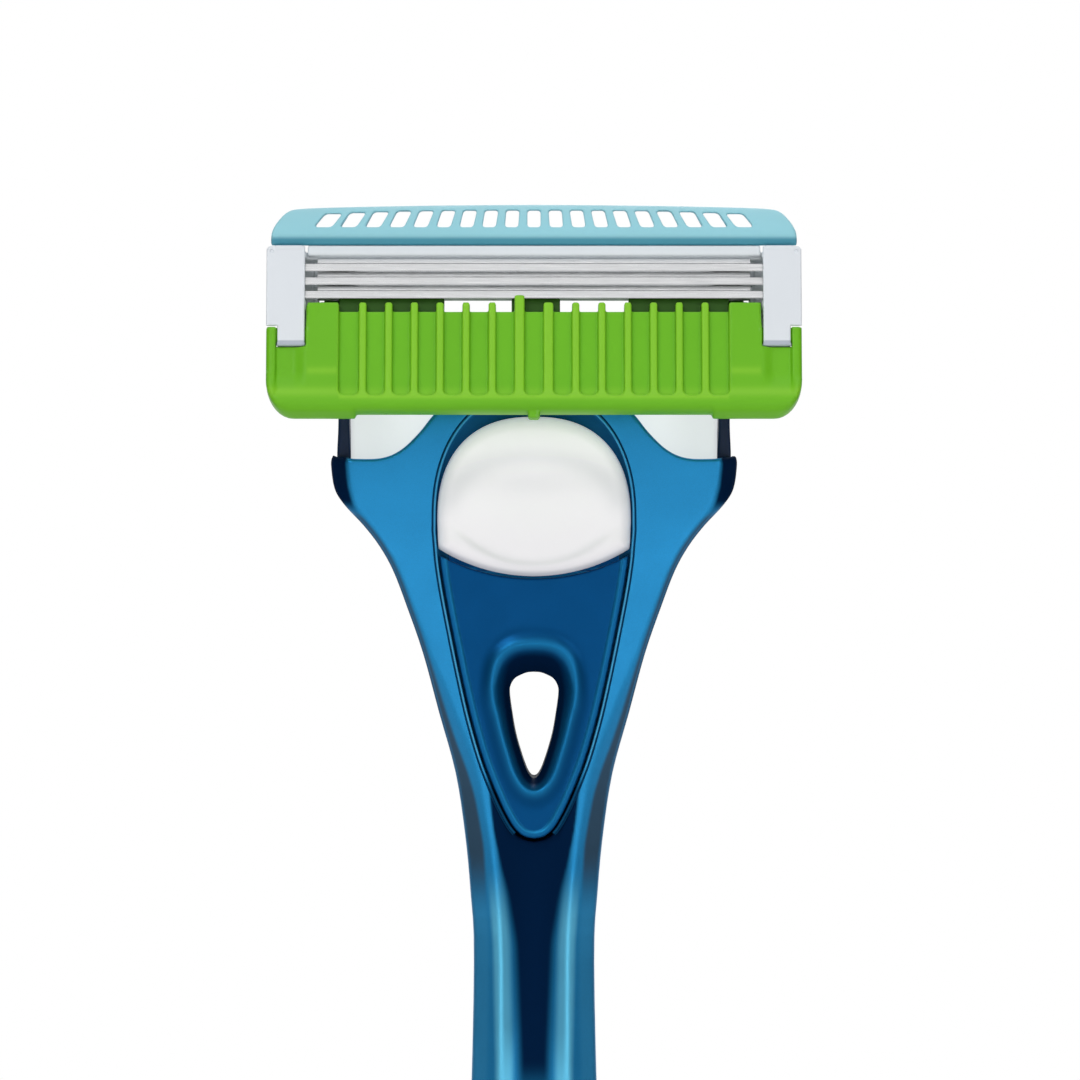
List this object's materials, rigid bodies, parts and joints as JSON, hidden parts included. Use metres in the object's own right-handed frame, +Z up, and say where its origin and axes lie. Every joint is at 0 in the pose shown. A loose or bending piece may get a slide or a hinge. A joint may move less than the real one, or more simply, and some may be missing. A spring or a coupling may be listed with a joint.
{
  "type": "body groomer",
  "caption": "Body groomer with a pivoting bladed cartridge, comb guard, slotted comfort cap, thumb release button and teardrop hang hole.",
  "frame": {"origin": "middle of the hang hole's round end, at the middle of the handle's thickness there", "axes": "+Z up the handle to the head, -Y to the front, which the blades face, +X to the right seen from the front"},
  "size_m": [0.043, 0.0235, 0.1506],
  "materials": {
    "frame_plastic": "pale grey white moulded plastic, satin",
    "cap_plastic": "light blue moulded plastic, satin",
    "blade_steel": "ground and coated stainless steel",
    "carrier_steel": "stamped stainless steel",
    "clip_metal": "pale satin aluminium",
    "comb_plastic": "bright green moulded plastic, semi gloss",
    "yoke_plastic": "navy moulded plastic",
    "shell_blue": "metallic blue coated plastic",
    "core_white": "white moulded plastic",
    "panel_blue": "dark metallic blue plastic",
    "grip_rubber": "soft navy rubber",
    "button_white": "white moulded plastic, satin",
    "weight_steel": "plain steel bar",
    "spring_steel": "spring wire"
  },
  "bodies": {
    "handle": {"front_shell": "shell_blue", "back_shell": "shell_blue", "neck_core": "core_white", "insert_panel": "panel_blue", "front_grip": "grip_rubber", "back_grip": "grip_rubber", "tail_cap": "yoke_plastic", "grip_weight": "weight_steel", "button_spring": "spring_steel", "plunger_spring": "spring_steel"},
    "yoke": {"cartridge_yoke": "yoke_plastic"},
    "cartridge": {"cartridge_frame": "frame_plastic", "comfort_cap": "cap_plastic", "blade_1": "blade_steel", "blade_2": "blade_steel", "blade_3": "blade_steel", "blade_support_1": "carrier_steel", "blade_support_2": "carrier_steel", "blade_support_3": "carrier_steel", "end_clip_left": "clip_metal", "end_clip_right": "clip_metal", "comb_guard": "comb_plastic"},
    "button": {"eject_button": "button_white", "button_pusher": "core_white"},
    "plunger_rod": {"plunger": "core_white"}
  },
  "joints": [
    {"name": "cartridge_release", "type": "slide", "parent": "handle", "child": "yoke", "axis": [0, 0, 1], "range_m": [0, 0.012]},
    {"name": "head_pivot", "type": "hinge", "parent": "yoke", "child": "cartridge", "pos_m": [0, -0.008, 0.0295], "axis": [-1, 0, 0], "range_deg": [0, 38], "stiffness_Nm_per_rad": 0.02, "springref_deg": -20.05},
    {"name": "plunger_slide", "type": "slide", "parent": "handle", "child": "plunger_rod", "axis": [0, 0, 1], "range_m": [-0.0034, 0], "deforming": ["plunger_spring"]},
    {"name": "button_slide", "type": "slide", "parent": "handle", "child": "button", "axis": [0, 0, 1], "range_m": [0, 0.001], "stiffness_N_per_m": 500, "springref_m": -0.001, "deforming": ["button_spring"]}
  ],
  "couplings": [
    {"joint": "plunger_slide", "follows": "head_pivot", "m_per_rad": -0.005}
  ]
}
